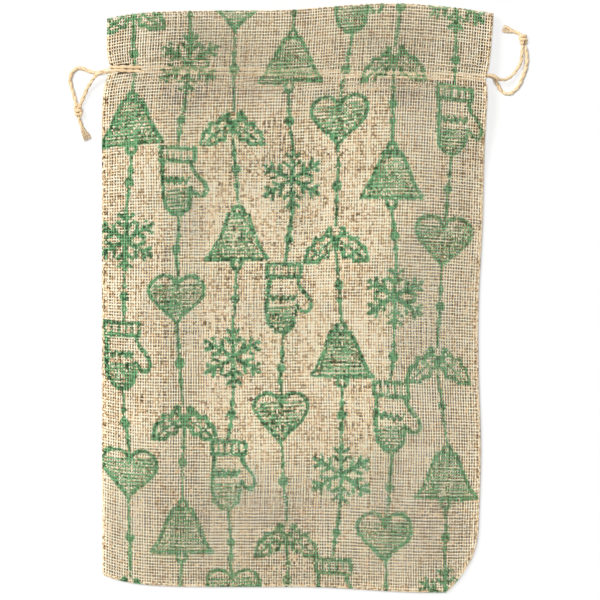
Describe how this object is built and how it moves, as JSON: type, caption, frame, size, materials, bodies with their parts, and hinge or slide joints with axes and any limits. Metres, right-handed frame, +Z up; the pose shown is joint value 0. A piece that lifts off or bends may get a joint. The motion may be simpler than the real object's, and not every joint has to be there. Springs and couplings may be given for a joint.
{
  "type": "drawstring gift sack",
  "caption": "Flat-lying jute gift sack with a sewn body, an open mouth with a hemmed casing, and drawstrings that pull out at either side to gather the mouth.",
  "frame": {"origin": "middle of the underside of the sack as it lies on its back, centre of the cloth's box", "axes": "+X to the right seen from the front, +Y towards the mouth, +Z up out of the front"},
  "size_m": [0.243, 0.309, 0.013],
  "materials": {
    "printed_jute": "open plain weave with a green print",
    "plain_jute": "open plain weave",
    "thread": "matte sewing thread",
    "cord": "twisted jute"
  },
  "bodies": {
    "sack": {"front_panel": "printed_jute", "back_panel": "plain_jute", "front_casing": "plain_jute", "back_casing": "plain_jute", "front_hem_stitching": "thread", "back_hem_stitching": "thread", "left_seam_stitching": "thread", "right_seam_stitching": "thread", "bottom_seam_stitching": "thread"},
    "left_drawstring": {"left_cord_run": "cord", "left_cord_front": "cord", "left_cord_back": "cord", "left_knot": "cord", "left_tail": "cord"},
    "right_drawstring": {"right_cord_run": "cord", "right_cord_front": "cord", "right_cord_back": "cord", "right_knot": "cord", "right_tail": "cord"}
  },
  "joints": [
    {"name": "left_drawstring_pull", "type": "slide", "parent": "sack", "child": "left_drawstring", "axis": [-0.9997, 0.0227, 0], "range_m": [0, 0.05], "deforming": ["front_panel", "back_panel", "front_casing", "back_casing", "front_hem_stitching", "back_hem_stitching", "left_seam_stitching", "right_seam_stitching"]},
    {"name": "right_drawstring_pull", "type": "slide", "parent": "sack", "child": "right_drawstring", "axis": [0.9997, -0.0227, 0], "range_m": [0, 0.05], "deforming": ["front_panel", "back_panel", "front_casing", "back_casing", "front_hem_stitching", "back_hem_stitching", "left_seam_stitching", "right_seam_stitching"]}
  ]
}
